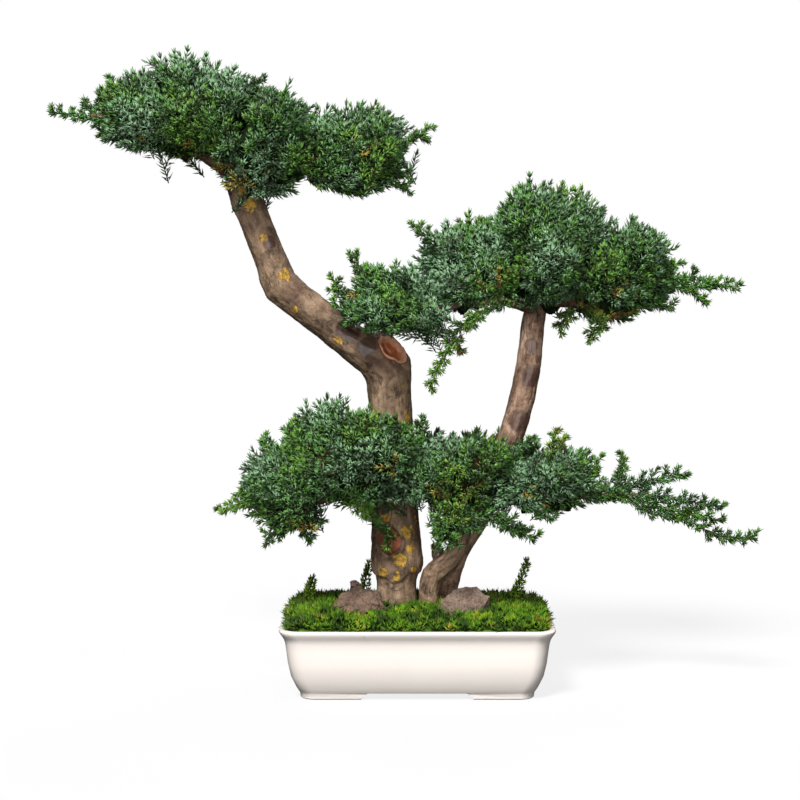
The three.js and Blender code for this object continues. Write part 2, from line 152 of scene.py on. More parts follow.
class Finish:
    """A material whose Principled shader takes constants by name and wires through its methods."""

    def __init__(self, name, **constants):
        self.material = bpy.data.materials.new(name)
        self.material.use_nodes = True
        self.nodes = self.material.node_tree.nodes
        self.links = self.material.node_tree.links
        self.shader = self.nodes["Principled BSDF"]
        for socket, value in constants.items():
            self.shader.inputs[socket.replace("_", " ")].default_value = value

    def set(self, socket, value):
        if isinstance(value, Wire):
            self.links.new(value.socket, socket)
        else:
            socket.default_value = value

    def node(self, kind, settings, inputs, output=0):
        made = self.nodes.new(kind)
        for name, value in settings.items():
            if name == "stops":
                ramp = made.color_ramp
                while len(ramp.elements) < len(value):
                    ramp.elements.new(1)
                for element, (at, colour) in zip(ramp.elements, value):
                    element.position = at
                    element.color = (*colour, 1)
            else:
                setattr(made, name, value)
        for name, value in inputs.items():
            self.set(made.inputs[name], value)
        return Wire(self, made.outputs[output])

    def place(self):
        return self.node("ShaderNodeTexCoord", {}, {}, "Object")

    def attribute(self, name, output="Fac"):
        return self.node("ShaderNodeAttribute", {"attribute_name": name}, {}, output)

    def noise(self, where, scale, detail=4.0, roughness=0.55, distortion=0.0):
        inputs = {"Vector": where, "Scale": scale, "Detail": detail}
        inputs |= {"Roughness": roughness, "Distortion": distortion}
        return self.node("ShaderNodeTexNoise", {}, inputs)

    def cells(self, where, scale, feature="F1"):
        return self.node("ShaderNodeTexVoronoi", {"feature": feature}, {"Vector": where, "Scale": scale})

    def ramp(self, value, *stops):
        return self.node("ShaderNodeValToRGB", {"stops": stops}, {"Fac": value})

    def mix(self, factor, first, second):
        inputs = {0: factor, 6: self.rgba(first), 7: self.rgba(second)}
        return self.node("ShaderNodeMix", {"data_type": "RGBA"}, inputs, 2)

    @staticmethod
    def rgba(colour):
        return colour if isinstance(colour, Wire) else (*colour, 1)

    def bump(self, height, strength, distance):
        inputs = {"Strength": strength, "Distance": distance, "Height": height}
        normal = self.node("ShaderNodeBump", {}, inputs)
        self.set(self.shader.inputs["Normal"], normal)

    def wear(self, **wires):
        """Joins wires to the shader's sockets by name."""
        for socket, value in wires.items():
            self.set(self.shader.inputs[socket.replace("_", " ")], value)
        return self.material


def glaze_finish():
    f = Finish("cream_glaze", Specular_IOR_Level=0.5, Coat_Roughness=0.12)
    at = f.place()
    cloud = f.noise(at, 9.0, 3.0)
    speck = f.noise(at, 420.0, 2.0).step(0.68, 0.78)
    colour = f.ramp(cloud, (0.3, (0.830, 0.765, 0.705)), (0.7, (0.870, 0.805, 0.745)))
    colour = f.mix(speck * 0.18, colour, (0.50, 0.38, 0.27))
    f.bump(f.noise(at, 60.0, 3.0) + speck * 0.2, 0.08, 0.0006)
    roughness = 0.30 + f.noise(at, 35.0, 2.0) * 0.12
    return f.wear(Base_Color=colour, Roughness=roughness, Coat_Weight=0.15 + cloud * 0.1)


# Yellow lichen
GOLD_STOPS = ((0.35, (0.28, 0.155, 0.022)), (0.65, (0.62, 0.37, 0.055)))
# Sawn wood: the old red-brown knot, the rotted hollow and its fresh pale lip
SAWN_STOPS = (
    (0.28, (0.10, 0.030, 0.018)),
    (0.50, (0.21, 0.070, 0.040)),
    (0.60, (0.26, 0.062, 0.018)),
    (0.72, (0.45, 0.130, 0.038)),
    (0.86, (0.70, 0.300, 0.150)),
    (1.00, (0.80, 0.420, 0.260)),
)


def bark_finish(name, dark, middle, pale, lichen=1.0):
    """Smooth grey-brown bark: mottled, finely cracked, with raised lichen, wet gloss, a darkened snag and
    sawn wood.
    """
    f = Finish(name, Specular_IOR_Level=0.45)
    at = f.place()
    grain = f.attribute("grain", "Vector")
    wet = f.attribute("wet")
    cut = f.attribute("cut")
    fibres = f.noise(grain, 210.0, 6.0, 0.65)
    mottle = f.noise(at, 58.0, 6.0, 0.68, 0.6)
    specks = f.noise(at, 330.0, 5.0, 0.75)
    cracks = 1 - f.cells(grain, 150.0, "DISTANCE_TO_EDGE").step(0.0, 0.05)
    cracks = cracks * f.noise(at, 55.0, 2.0).step(0.50, 0.62)
    pattern = fibres * 0.3 + mottle * 0.45 + specks * 0.25
    colour = f.ramp(pattern, (0.42, dark), (0.5, middle), (0.58, pale))
    colour = f.mix(specks.step(0.56, 0.66) * 0.55, colour, (0.035, 0.022, 0.014))
    colour = f.mix(f.noise(at, 15.0, 3.0).step(0.5, 0.68) * 0.55, colour, (0.150, 0.078, 0.056))
    colour = f.mix(cracks * 0.6, colour, (0.018, 0.012, 0.009))
    dusty = f.noise(grain, 90.0, 5.0, 0.7).step(0.60, 0.72)
    colour = f.mix(dusty * 0.35, colour, (0.30, 0.245, 0.19))
    crust = f.noise(at, 130.0, 6.0, 0.78, 0.4) + f.attribute("lichen") * 0.30
    ochre = crust.step(0.685, 0.715) * lichen
    grey = f.noise(at, 70.0, 6.0, 0.7) + f.attribute("lichen") * 0.1
    grey = grey.step(0.70, 0.73) * lichen
    colour = f.mix(grey * 0.8, colour, (0.40, 0.385, 0.27))
    gold = f.ramp(f.noise(at, 260.0, 3.0), *GOLD_STOPS)
    colour = f.mix(ochre, colour, gold)
    # Dark and glossy: wet bark, and the broken snag by the front stem, darkened to near black
    soaked_and_snag = (wet * 1.3 - f.noise(at, 90.0, 5.0) * 0.7).step(0.12, 0.62)
    colour = f.mix(soaked_and_snag * 0.7, colour, (0.052, 0.02, 0.018))
    rings = f.noise(grain, 300.0, 3.0, 0.6) - 0.5
    sawn = f.ramp(cut + rings * 0.6, *SAWN_STOPS)
    colour = f.mix(cut.step(0.1, 0.3), colour, sawn)
    height = fibres * 0.4 + mottle * 0.3 + specks * 0.4 - cracks * 0.5 + (ochre + grey) * 0.35
    f.bump(height * (1 - soaked_and_snag * 0.75), 0.9, 0.0016)
    roughness = 0.74 + fibres * 0.15 - soaked_and_snag * 0.45 - cut * 0.12
    return f.wear(Base_Color=colour, Roughness=roughness.clamped(), Coat_Weight=soaked_and_snag * 0.35)


# Near-black leaf colours, both painted shade: the first at each leaf's foot where it meets its shoot, the
# second in patches between the tufts
LEAF_FOOT_SHADE = (0.004, 0.010, 0.002)
LEAF_SHADE = (0.006, 0.016, 0.004)


def leaf_finish(name, stops, tip, tip_share, fresh_and_highlight, roughness, shine):
    """Leaves coloured by their own tint and by how far along the leaf a point is, lighter towards the tips
    of the greener leaves as fresh colour and painted highlight, with painted shade at each leaf's foot and
    in patches between the tufts.
    """
    f = Finish(name, Roughness=roughness, Specular_IOR_Level=shine)
    tint = f.attribute("tint")
    along = f.attribute("along")
    colour = f.ramp(tint, *stops)
    bloom = along.step(0.15, 0.55) * (1 - tint.step(0.20, 0.40)) * tip_share
    colour = f.mix(bloom, colour, tip)
    # Lighter yellow-green towards the tips of the greener leaves: partly the colour of fresh growth, partly
    # a painted highlight
    colour = f.mix(along.step(0.3, 0.9) * tint.step(0.3, 0.6) * 0.35, colour, fresh_and_highlight)
    # Painted shade: near-black patches, spread by noise, standing in for the shadow in the gaps between
    # tufts
    painted_gap_shade = 1 - f.noise(f.place(), 52.0, 2.0).step(0.40, 0.54)
    colour = f.mix(painted_gap_shade * 0.7, colour, LEAF_SHADE)
    # Painted shade at each leaf's foot, where it meets its shoot: the lower part of every leaf darkens to
    # near black
    return f.wear(Base_Color=f.mix((1 - along).step(0.45, 1.0) * 0.92, colour, LEAF_FOOT_SHADE))


# Green twigs, and a few that have died back to orange
TWIG_STOPS = ((0.0, (0.02, 0.045, 0.012)), (0.6, (0.055, 0.075, 0.02)), (1.0, (0.36, 0.13, 0.035)))


def twig_finish():
    f = Finish("twig_bark", Roughness=0.7)
    colour = f.ramp(f.attribute("tint"), *TWIG_STOPS)
    return f.wear(Base_Color=f.mix(f.attribute("along") * 0.5, colour, (0.11, 0.14, 0.035)))


def rock_finish(name, dark, pale):
    f = Finish(name, Specular_IOR_Level=0.3)
    at = f.place()
    patches = f.noise(at, 42.0, 5.0, 0.65)
    grit = f.noise(at, 620.0, 4.0, 0.7)
    pores = f.cells(at, 420.0).step(0.0, 0.32)
    colour = f.ramp(patches * 0.6 + grit * 0.4, (0.36, dark), (0.64, pale))
    colour = f.mix((1 - pores) * 0.6, colour, (0.025, 0.018, 0.018))
    f.bump(pores * 0.6 + grit * 0.5 + patches, 1.0, 0.0016)
    return f.wear(Base_Color=colour, Roughness=0.82 + grit * 0.15)


SOIL_STOPS = ((0.3, (0.018, 0.011, 0.007)), (0.7, (0.075, 0.046, 0.028)))


def soil_finish():
    f = Finish("dark_soil", Specular_IOR_Level=0.2)
    at = f.place()
    crumbs = f.cells(at, 320.0)
    colour = f.ramp(f.noise(at, 160.0, 5.0), *SOIL_STOPS)
    f.bump(crumbs, 0.8, 0.002)
    return f.wear(Base_Color=colour, Roughness=0.85 + crumbs * 0.1)


BED_STOPS = ((0.32, (0.012, 0.022, 0.004)), (0.55, (0.06, 0.13, 0.012)), (0.75, (0.15, 0.27, 0.03)))


def bed_finish():
    f = Finish("moss_bed", Specular_IOR_Level=0.2)
    at = f.place()
    tufts = f.noise(at, 190.0, 5.0, 0.7)
    colour = f.ramp(tufts, *BED_STOPS)
    colour = f.mix(f.noise(at, 70.0, 3.0).step(0.6, 0.7) * 0.6, colour, (0.10, 0.055, 0.02))
    f.bump(tufts, 0.8, 0.003)
    return f.wear(Base_Color=colour, Roughness=0.85 + tufts * 0.1)


def screen_finish():
    f = Finish("screen_plastic", Specular_IOR_Level=0.4)
    grain = f.noise(f.place(), 900.0, 2.0)
    f.bump(grain, 0.2, 0.0003)
    colour = f.ramp(grain, (0.3, (0.012, 0.022, 0.017)), (0.7, (0.03, 0.045, 0.036)))
    return f.wear(Base_Color=colour, Roughness=0.5 + grain * 0.15)


def floor_finish():
    """A pale floor with a glow of its own, so that only soft contact shadows show on it."""
    f = Finish("pale_floor", Specular_IOR_Level=0.0, Emission_Strength=0.83)
    wash = f.noise(f.place(), 2.0, 2.0)
    colour = f.ramp(wash, (0.3, (0.12, 0.12, 0.12)), (0.7, (0.13, 0.13, 0.13)))
    glow = f.ramp(wash, (0.3, (0.99, 0.99, 0.99)), (0.7, (1.0, 1.0, 1.0)))
    return f.wear(Base_Color=colour, Roughness=0.8 + wash * 0.05, Emission_Color=glow)


def mat_finish():
    """The inside of a pad: a nearly black sheet of painted shade for the gaps between tufts, with brown
    patches of old needles and twig ends.
    """
    f = Finish("old_needles", Specular_IOR_Level=0.1)
    at = f.place()
    strands = f.noise(at, 260.0, 4.0, 0.7, 1.5)
    # The nearly black green is painted shade; the brown patches are the old needles' own colour
    green = f.ramp(strands, (0.35, (0.004, 0.008, 0.003)), (0.7, (0.022, 0.045, 0.012)))
    brown = f.ramp(strands, (0.35, (0.010, 0.006, 0.003)), (0.7, (0.070, 0.034, 0.014)))
    f.bump(strands, 0.9, 0.003)
    colour = f.mix(f.noise(at, 34.0, 2.0).step(0.56, 0.66), green, brown)
    return f.wear(Base_Color=colour, Roughness=0.8 + strands * 0.15)


NEEDLE_STOPS = (
    (0.0, (0.016, 0.078, 0.030)),
    (0.25, (0.024, 0.102, 0.024)),
    (0.5, (0.052, 0.172, 0.020)),
    (0.8, (0.140, 0.290, 0.030)),
    (0.93, (0.300, 0.360, 0.050)),
    (1.0, (0.420, 0.170, 0.040)),
)
MOSS_STOPS = (
    (0.0, (0.005, 0.026, 0.001)),
    (0.4, (0.026, 0.090, 0.002)),
    (0.8, (0.100, 0.210, 0.004)),
    (0.93, (0.240, 0.280, 0.020)),
    (1.0, (0.360, 0.150, 0.035)),
)
GLAZE = glaze_finish()
BARK = bark_finish("grey_bark", (0.055, 0.033, 0.020), (0.190, 0.120, 0.070), (0.345, 0.232, 0.148))
REAR_BARK = bark_finish(
    "ruddy_bark", (0.085, 0.045, 0.030), (0.270, 0.160, 0.100), (0.480, 0.325, 0.225)
)
# The limbs' orange-brown bark, made darker as painted shade so that the limbs under the pads look shadowed
LIMB_BARK_WITH_PAINTED_SHADE = bark_finish(
    "limb_bark", (0.030, 0.014, 0.007), (0.105, 0.048, 0.020), (0.240, 0.115, 0.048), lichen=0.3
)
NEEDLE = leaf_finish(
    "juniper_needle", NEEDLE_STOPS, tip=(0.42, 0.68, 0.38), tip_share=0.52, fresh_and_highlight=(0.24, 0.46, 0.07),
    roughness=0.32, shine=0.45,
)
TWIG = twig_finish()
PAD_SHADE_AND_OLD_NEEDLES = mat_finish()
MOSS_LEAF = leaf_finish(
    "moss_leaf", MOSS_STOPS, tip=(0.12, 0.27, 0.012), tip_share=0.4, fresh_and_highlight=(0.18, 0.34, 0.012),
    roughness=0.5, shine=0.2,
)
MOSS_BED = bed_finish()
LAVA = rock_finish("lava_rock", (0.016, 0.010, 0.008), (0.250, 0.158, 0.112))
WEATHERED = rock_finish("weathered_lava", (0.070, 0.045, 0.035), (0.370, 0.262, 0.200))
SANDSTONE = rock_finish("beige_stone", (0.20, 0.145, 0.105), (0.46, 0.36, 0.28))
SOIL = soil_finish()
SCREEN = screen_finish()
FLOOR = floor_finish()


# ---- workshop: small steps that every piece uses --------------------------------------------------------
def deselect():
    if bpy.context.object and bpy.context.object.mode != "OBJECT":
        bpy.ops.object.mode_set(mode="OBJECT")
    bpy.ops.object.select_all(action="DESELECT")


def activate(piece):
    deselect()
    piece.select_set(True)
    bpy.context.view_layer.objects.active = piece


def edit(piece):
    activate(piece)
    bpy.context.tool_settings.mesh_select_mode = (True, False, False)
    bpy.ops.object.mode_set(mode="EDIT")


def choose(piece, wanted):
    """Enters edit mode with only the points that pass a test selected."""
    edit(piece)
    bpy.ops.mesh.select_all(action="DESELECT")
    bpy.ops.object.mode_set(mode="OBJECT")
    for vertex in piece.data.vertices:
        vertex.select = wanted(vertex.co)
    bpy.ops.object.mode_set(mode="EDIT")


def modify(piece, kind, **settings):
    """Adds a modifier with its settings and applies it."""
    activate(piece)
    modifier = piece.modifiers.new(kind.lower(), kind)
    for name, value in settings.items():
        setattr(modifier, name, value)
    bpy.ops.object.modifier_apply(modifier=modifier.name)


def points_of(mesh):
    found = np.empty(len(mesh.vertices) * 3, np.float32)
    mesh.vertices.foreach_get("co", found)
    return found.reshape(-1, 3).astype(float)


def normals_of(mesh):
    found = np.empty(len(mesh.vertices) * 3, np.float32)
    mesh.vertices.foreach_get("normal", found)
    return found.reshape(-1, 3).astype(float)


def move_points(mesh, points):
    mesh.vertices.foreach_set("co", points.astype(np.float32).ravel())
    mesh.update()


def mark(mesh, name, values, kind="FLOAT"):
    """Stores one value for each vertex, which a finish reads by name."""
    layer = mesh.attributes.new(name, kind, "POINT")
    layer.data.foreach_set("value" if kind == "FLOAT" else "vector", values.astype(np.float32).ravel())


def declare(piece, slot, *nodes):
    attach(piece, "root")
    if nodes:
        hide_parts(*nodes)


def rough(points, size, octaves=4, basis="PERLIN_ORIGINAL"):
    """Fractal noise at each point, whose largest bumps are about size millimetres across."""
    scale = 1 / (size * MM)
    roughness, step = 0.9, 2.1
    return np.array([
        noise.fractal(Vector(p) * scale, roughness, step, octaves, noise_basis=basis) for p in points
    ])


def grown_from(node, name, voxel, smoothing):
    """Starts a piece from its CAD solid: merged, remeshed into even faces and smoothed."""
    piece = bpy.data.objects.new(name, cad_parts[node].data.copy())
    bpy.context.collection.objects.link(piece)
    piece.data.materials.clear()
    edit(piece)
    bpy.ops.mesh.select_all(action="SELECT")
    bpy.ops.mesh.remove_doubles(threshold=0.00001)
    bpy.ops.object.mode_set(mode="OBJECT")
    modify(piece, "REMESH", mode="VOXEL", voxel_size=voxel * MM, use_smooth_shade=True)
    modify(piece, "SMOOTH", factor=0.5, iterations=smoothing)
    return piece


# ---- the stage ------------------------------------------------------------------------------------------
def make_floor():
    deselect()
    bpy.ops.mesh.primitive_plane_add(size=9, location=(0, 1.2, 0))
    floor = bpy.context.object
    floor.name = "floor"
    floor.data.materials.append(FLOOR)
    floor.visible_diffuse = False
    floor.visible_glossy = False


# ---- the pot --------------------------------------------------------------------------------------------
LIP_CORNER = 20
# [inset from the lip, height] up the outside, over the lip and down the inside
POT_PROFILE = (
    (19.8, 1), (19.3, 5.4), (18.3, 6.8), (15.9, 11), (11.0, 22), (8.2, 35), (6.6, 48), (5.6, 55),
    (4.6, 58.4), (3.1, 61.2), (1.4, 63.8), (0.3, 66), (0.1, 67.4), (0.9, 68.6), (2.6, 69), (4.8, 68.8),
    (6.4, 68), (7.8, 65), (12.5, 56), (15.2, 38), (20, 22), (28, 14),
)
FOOT_INSET = 21
FOOT_RING = 9
ARCH_HEIGHT = 6.4
ARCH_SPLAY = 6
ARCH_ROUND = 2.2
FRONT_ARCH = 96
SIDE_ARCH = 54
RECESS_HEIGHT = 7
DRAIN_RADIUS = 9
DRAIN_X = 62
EDGE_ROUND = 0.8


def extrude_outline(half, inset, rise, span):
    """Raises the selected outline by one step and brings it to its new inset."""
    bpy.ops.mesh.extrude_region_move(TRANSFORM_OT_translate={"value": (0, 0, rise * MM)})
    size = [(span[i] - inset) / half[i] for i in (0, 1)]
    bpy.ops.transform.resize(value=(*size, 1), center_override=POT_MIDDLE)
    return [span[i] - inset for i in (0, 1)]


def arch_cutter(width, length, turn):
    """The space between two feet, flat on top and splayed where it meets the ground."""
    below = 2
    depth = ARCH_HEIGHT + below
    deselect()
    middle = POT_MIDDLE + Vector((0, 0, (depth / 2 - below) * MM))
    bpy.ops.mesh.primitive_cube_add(size=1, location=middle)
    cutter = bpy.context.object
    cutter.scale = (width * MM, length * MM, depth * MM)
    bpy.ops.object.transform_apply(location=True, rotation=True, scale=True)
    choose(cutter, lambda at: at.z < 0)
    wider = 1 + 2 * ARCH_SPLAY * depth / ARCH_HEIGHT / width
    bpy.ops.transform.resize(value=(wider, 1, 1), center_override=POT_MIDDLE)
    bpy.ops.object.mode_set(mode="OBJECT")
    modify(cutter, "BEVEL", width=ARCH_ROUND * MM, segments=4, limit_method="ANGLE", angle_limit=0.6)
    cutter.data.transform(Matrix.Translation(-POT_MIDDLE))
    cutter.data.transform(Matrix.Rotation(turn, 4, "Z"))
    cutter.data.transform(Matrix.Translation(POT_MIDDLE))
    return cutter


def cut_with(piece, cutter):
    modify(piece, "BOOLEAN", operation="DIFFERENCE", object=cutter, solver="EXACT")
    bpy.data.objects.remove(cutter)


def make_pot():
    span = [(POT_HIGH.x - POT_LOW.x) / 2 / MM, (POT_HIGH.y - POT_LOW.y) / 2 / MM]
    deselect()
    bpy.ops.mesh.primitive_plane_add(size=2, location=POT_MIDDLE)
    pot = bpy.context.object
    pot.name = "glazed_pot"
    pot.scale = ((span[0] - FOOT_INSET) * MM, (span[1] - FOOT_INSET) * MM, 1)
    bpy.ops.object.transform_apply(location=True, rotation=True, scale=True)
    edit(pot)
    bpy.ops.mesh.select_all(action="SELECT")
    bpy.ops.mesh.bevel(offset=(LIP_CORNER - 6) * MM, segments=10, affect="VERTICES")
    bpy.ops.mesh.select_all(action="SELECT")
    half = [value - FOOT_INSET for value in span]
    height = 0
    for inset, level in POT_PROFILE:
        half = extrude_outline(half, inset, level - height, span)
        height = level
    bpy.ops.object.mode_set(mode="OBJECT")
    for face in pot.data.polygons:
        face.select = face.center.z < 0.0001
    edit(pot)
    bpy.ops.mesh.normals_make_consistent(inside=False)
    bpy.ops.object.mode_set(mode="OBJECT")
    deselect()
    middle_height = 2
    bpy.ops.mesh.primitive_cube_add(size=1, location=POT_MIDDLE + Vector((0, 0, middle_height * MM)))
    recess = bpy.context.object
    ring = FOOT_INSET + FOOT_RING
    size = (span[0] - ring, span[1] - ring, RECESS_HEIGHT - middle_height)
    recess.scale = [2 * value * MM for value in size]
    bpy.ops.object.transform_apply(location=True, rotation=True, scale=True)
    cut_with(pot, recess)
    cut_with(pot, arch_cutter(FRONT_ARCH, 260, 0))
    cut_with(pot, arch_cutter(SIDE_ARCH, 340, math.pi / 2))
    for side in (-1, 1):
        deselect()
        middle = POT_MIDDLE + Vector((side * DRAIN_X * MM, 0, 0))
        bpy.ops.mesh.primitive_cylinder_add(
            vertices=40, radius=DRAIN_RADIUS * MM, depth=0.04, location=middle
        )
        drain = bpy.context.object
        bpy.ops.object.transform_apply(location=True, rotation=True, scale=True)
        cut_with(pot, drain)
    modify(pot, "BEVEL", width=EDGE_ROUND * MM, segments=3, limit_method="ANGLE", angle_limit=0.7)
    activate(pot)
    bpy.ops.object.shade_smooth_by_angle(angle=math.radians(40))
    pot.data.materials.clear()
    pot.data.materials.append(GLAZE)
    declare(pot, "cream_glaze", "pot")


# ---- wood -----------------------------------------------------------------------------------------------
# The line that each stem follows, from the soil to its top
MAIN_LINE = (
    (-20, 2, 34), (-20, 0, 117), (-20.2, 0, 155), (-25.7, 0, 254), (-28.5, 0, 305), (-39.5, 0, 321.5),
    (-60, 0, 335.5), (-84, -1, 355), (-114, -2, 378), (-131.5, -2, 392), (-138.4, -2, 410), (-149, -1, 436),
    (-158.4, 0, 460), (-169, 0, 495), (-174, 0, 527),
)
REAR_LINE = (
    (29, 17, 36), (29.5, 17, 92), (40, 15, 131), (60, 12.5, 166), (81, 9, 217), (98.5, 5, 268),
    (109.5, 1, 329.5), (113, 0, 366), (123, 0, 409),
)
FRONT_LINE = (
    (12.4, -9, 38), (12.6, -9, 97), (20.5, -12, 117), (37.7, -15, 137), (45.6, -17, 170),
    (46.6, -18, 188),
)
SAW_CENTRE = (-25.5, -3, 330.5)
SAW_NORMAL = np.array(Vector((0.5, -0.5, 0.7)).normalized())
HOLLOW_REACH = 14.5
HOLLOW_DEPTH = 9.5
CALLUS_REACH = 17
KNOT_CENTRE = (-27, -25, 147.6)
KNOT_RADIUS = 12
LEDGE_LEVEL = 112
LEDGE_DEPTH = 1.7
SOIL_LEVEL = 72
# Where lichen gathers, and where the bark is made dark and glossy (wet patches, and in the first two spots
# the broken snag by the front stem): [x, y, z, reach]
LICHEN_SPOTS = (
    (-163, -16, 489, 17), (-158, -16, 471, 12), (-148, -14, 439, 8), (-128, -16, 403, 12),
    (-118, -15, 371, 8), (-74, -15, 341, 9), (-12, -22, 295, 9), (-4, -16, 267, 14), (-10, -22, 155, 14),
    (-16, -25, 129, 13), (-34, -20, 115, 10), (-2, -20, 117, 9), (-10, -20, 89, 6),
    (-20, -26, 112, 9), (-40, -18, 112, 8),
    (-6, -20, 140, 10), (2, -14, 168, 9), (44, -14, 112, 8), (-30, -20, 168, 7),
)
# The first two spots darken the broken snag by the front stem and make it glossy; the rest are wet bark
WET_AND_SNAG_SPOTS = (
    (23, -4, 128, 19), (17.5, 0, 142, 24),
    (-66, -14, 349, 20), (-48, -16, 335, 16), (-140, -14, 435, 11), (100, -8, 260, 20),
    (112, -10, 305, 18), (110, -10, 335, 12), (91, -6, 230, 16), (8, -8, 185, 12),
)


def line_samples(line, count):
    """Evenly spaced points along a smooth line, with how far along each one is."""
    corners = np.array([place(*point) for point in line])
    steps = np.linalg.norm(np.diff(corners, axis=0), axis=1)
    reach = np.concatenate([[0], np.cumsum(steps)])
    along = np.linspace(0, reach[-1], count)
    points = np.stack([np.interp(along, reach, corners[:, i]) for i in range(3)], 1)
    return points, along


def grain_of(points, line):
    """Coordinates that run round the stem and along it, shortened along it so that marks are drawn out."""
    samples, along = line_samples(line, 160)
    tangents = np.gradient(samples, axis=0)
    tangents /= np.linalg.norm(tangents, axis=1)[:, None]
    nearest = np.argmin(((points[:, None] - samples[None]) ** 2).sum(2), axis=1)
    outward = points - samples[nearest]
    side = np.cross(tangents[nearest], (0, 1, 0))
    side /= np.linalg.norm(side, axis=1)[:, None]
    return np.stack([(outward * side).sum(1), outward[:, 1], along[nearest] * 0.3], 1)


def near_spots(points, spots):
    """1 at the middle of a spot, falling to 0 at its reach."""
    amount = np.zeros(len(points))
    for x, y, z, reach in spots:
        far = np.linalg.norm(points - np.array(place(x, y, z)), axis=1) / (reach * MM)
        amount = np.maximum(amount, np.clip(1.4 * (1 - far), 0, 1))
    return amount


def weather(piece, line, depth):
    """Gives a smooth stem its bark: broad swellings, long shallow ridges and small scars."""
    mesh = piece.data
    points = points_of(mesh)
    grain = grain_of(points, line)
    swell = rough(points, 42, 2) * 1.5
    ridges = rough(grain, 5, 4) * 0.75
    scars = -np.clip(rough(grain * (1, 1, 2), 9, 3) - 0.25, 0, 1) * 1.6
    move_points(mesh, points + normals_of(mesh) * ((swell + ridges + scars) * depth * MM)[:, None])
    mark(mesh, "grain", knot_fibres(points, grain), "FLOAT_VECTOR")
    mark(mesh, "lichen", near_spots(points, LICHEN_SPOTS))
    mark(mesh, "wet", near_spots(points, WET_AND_SNAG_SPOTS))


def hollow_saw_cut(mesh):
    """Sinks the old leader's sawn face into a rotted hollow inside a rolled lip of callus."""
    points = points_of(mesh)
    apart = points - np.array(place(*SAW_CENTRE))
    height = apart @ SAW_NORMAL
    flat = apart - height[:, None] * SAW_NORMAL
    reach = np.linalg.norm(flat, axis=1) / MM
    reach *= 1 + 0.12 * rough(points, 14, 2)
    near = (np.abs(height) < 9 * MM) & (reach < 30)
    bowl = np.clip(1 - (reach / HOLLOW_REACH) ** 2, 0, 1) ** 0.8
    lip = np.exp(-(((reach - CALLUS_REACH) / 2.8) ** 2))
    sink = np.where(near, -HOLLOW_DEPTH * bowl + 1.4 * lip, 0)
    move_points(mesh, points + SAW_NORMAL * (sink * MM)[:, None])
    inside = near & (height > -3 * MM)
    pale = 0.74 + 0.26 * np.clip((reach - 11.5) / 3, 0, 1)
    return np.where(inside, np.clip((18.5 - reach) / 1.5, 0, 1) * pale, 0)


def knot_fibres(points, grain):
    """Turns the grain of the knot's face so that its fibres run out from its middle."""
    apart = (points - np.array(place(*KNOT_CENTRE))) / MM
    reach = np.hypot(apart[:, 0], apart[:, 2])
    turn = np.arctan2(apart[:, 2], apart[:, 0])
    radial = np.stack([0.011 * np.cos(turn), 0.011 * np.sin(turn), reach * MM * 0.12], 1)
    on_face = (apart[:, 1] < 12) & (reach < KNOT_RADIUS)
    return np.where(on_face[:, None], radial, grain)


def round_knot(mesh):
    """A pruned branch's scar on the front: a shallow round face inside a swollen collar."""
    points = points_of(mesh)
    apart = (points - np.array(place(*KNOT_CENTRE))) / MM
    reach = np.hypot(apart[:, 0], apart[:, 2] / 1.12) * (1 + 0.08 * rough(points, 12, 2))
    front = apart[:, 1] < 12
    collar = np.exp(-(((reach - KNOT_RADIUS - 2) / 3.0) ** 2)) * 2.2
    face = -1.4 * np.clip((KNOT_RADIUS + 0.5 - reach) / 1.5, 0, 1)
    points[:, 1] -= np.where(front, collar + face, 0) * MM
    move_points(mesh, points)
    return np.where(front, 0.5 * np.clip((KNOT_RADIUS - reach) / 1.2, 0, 1), 0)


def bark_ledge(mesh):
    """The old bark's broken edge, which runs round the trunk a little above the soil."""
    points = points_of(mesh)
    away = points - np.array(place(-20, 0, 0))
    turn = np.arctan2(away[:, 1], away[:, 0])
    level = LEDGE_LEVEL + 4.5 * np.cos(2 * turn + 0.6) + 2 * np.sin(5 * turn) + 2.5 * rough(points, 16, 3)
    below = np.clip((level * MM - points[:, 2]) / (1.5 * MM), 0, 1)
    below *= np.clip((points[:, 2] - SOIL_LEVEL * MM) / 0.03, 0, 1)
    outward = away * (1, 1, 0)
    outward /= np.linalg.norm(outward, axis=1)[:, None] + 1e-9
    move_points(mesh, points - outward * (below * LEDGE_DEPTH * MM)[:, None])


def finish_wood(piece, slot, material, cut=None):
    mark(piece.data, "cut", cut if cut is not None else np.zeros(len(piece.data.vertices)))
    piece.data.materials.append(material)
    activate(piece)
    bpy.ops.object.shade_smooth()
    declare(piece, slot, piece.name.removesuffix("_wood"))


def make_stems():
    trunk = grown_from("main_trunk", "main_trunk_wood", 1.5, 12)
    bark_ledge(trunk.data)
    cut = np.maximum(hollow_saw_cut(trunk.data), round_knot(trunk.data))
    weather(trunk, MAIN_LINE, 1.0)
    finish_wood(trunk, "bark", BARK, cut)
    rear = grown_from("rear_stem", "rear_stem_wood", 1.3, 12)
    weather(rear, REAR_LINE, 0.75)
    finish_wood(rear, "bark", REAR_BARK)
    front = grown_from("front_stem", "front_stem_wood", 1.2, 24)
    weather(front, FRONT_LINE, 1.1)
    finish_wood(front, "bark", BARK)


def make_limbs():
    for node in sorted(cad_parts):
        if "_limb_" not in node:
            continue
        limb = grown_from(node, node + "_wood", 1.1, 6)
        low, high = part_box(node)
        middle = (low + high) / 2
        ends = (Vector((low.x, middle.y, middle.z)), Vector((high.x, middle.y, middle.z)))
        line = [tuple((end - POT_MIDDLE) / MM) for end in ends]
        weather(limb, line, 0.7)
        finish_wood(limb, "limb_bark", LIMB_BARK_WITH_PAINTED_SHADE)


